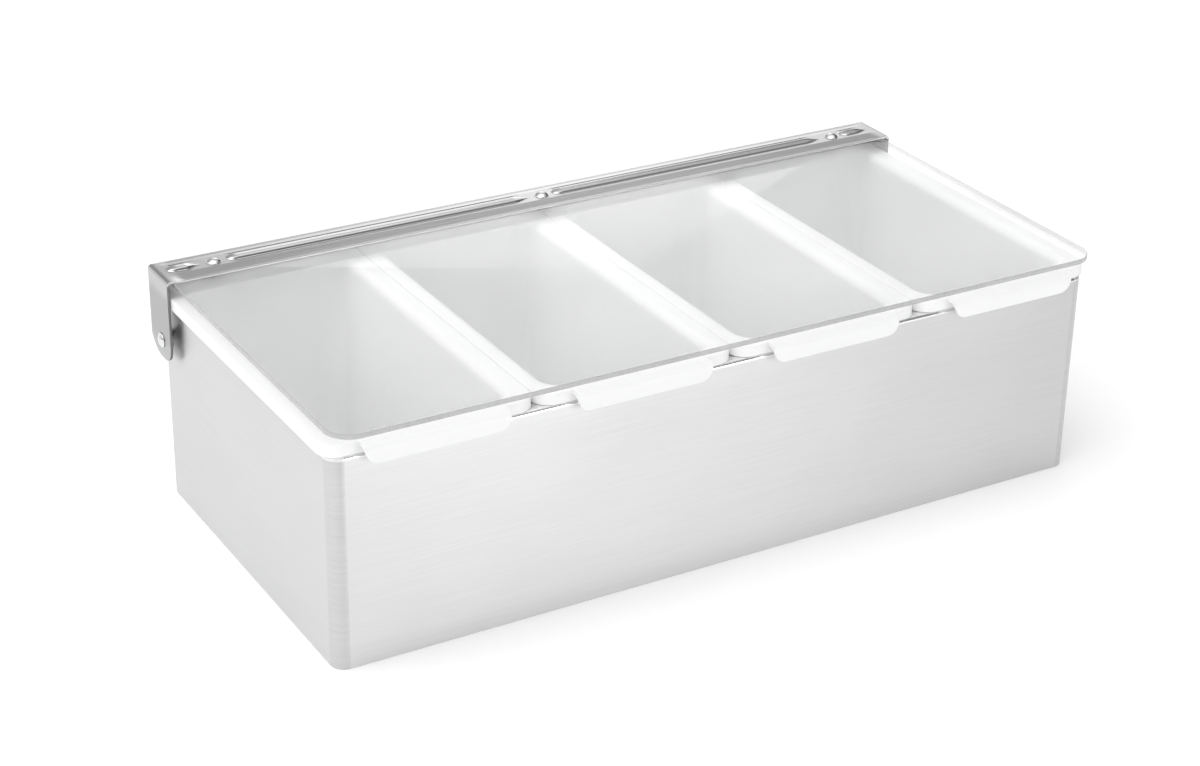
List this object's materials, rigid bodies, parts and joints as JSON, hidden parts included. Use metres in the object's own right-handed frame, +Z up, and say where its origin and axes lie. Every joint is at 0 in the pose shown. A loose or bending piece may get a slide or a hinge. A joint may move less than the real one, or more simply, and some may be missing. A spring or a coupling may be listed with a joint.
{
  "type": "condiment caddy",
  "caption": "Low oblong steel housing with drop-in white trays under one clear flat lid on a riveted rear hinge strip.",
  "frame": {"origin": "centre of the housing's flat underside, where it rests on the counter", "axes": "+Z up, +X along the length to the user's right, -Y towards the user and the grips, +Y towards the hinge"},
  "size_m": [0.3344, 0.1633, 0.097],
  "materials": {
    "housing": "stainless sheet, horizontally brushed",
    "hinge_steel": "stainless sheet, semi-bright",
    "rivet_steel": "bright stainless",
    "tray_plastic": "white moulded plastic, soft sheen",
    "clear_lid": "clear rigid plastic sheet"
  },
  "bodies": {
    "caddy": {"housing_wrap": "housing", "housing_base": "housing", "insert_1": "tray_plastic", "insert_2": "tray_plastic", "insert_3": "tray_plastic", "insert_4": "tray_plastic", "pivot_rivet_left": "rivet_steel", "pivot_rivet_right": "rivet_steel", "pivot_spacer_left": "rivet_steel", "pivot_spacer_right": "rivet_steel", "pivot_washer_left": "rivet_steel", "pivot_washer_right": "rivet_steel"},
    "lid": {"hinge_strip": "hinge_steel", "lid_panel": "clear_lid", "lid_rivet_left": "rivet_steel", "lid_rivet_middle": "rivet_steel", "lid_rivet_right": "rivet_steel", "lid_washer_left": "rivet_steel", "lid_washer_middle": "rivet_steel", "lid_washer_right": "rivet_steel"}
  },
  "joints": [
    {"name": "lid_hinge", "type": "hinge", "parent": "caddy", "child": "lid", "pos_m": [0, 0.069, 0.0685], "axis": [-1, 0, 0], "range_deg": [0, 114]}
  ]
}
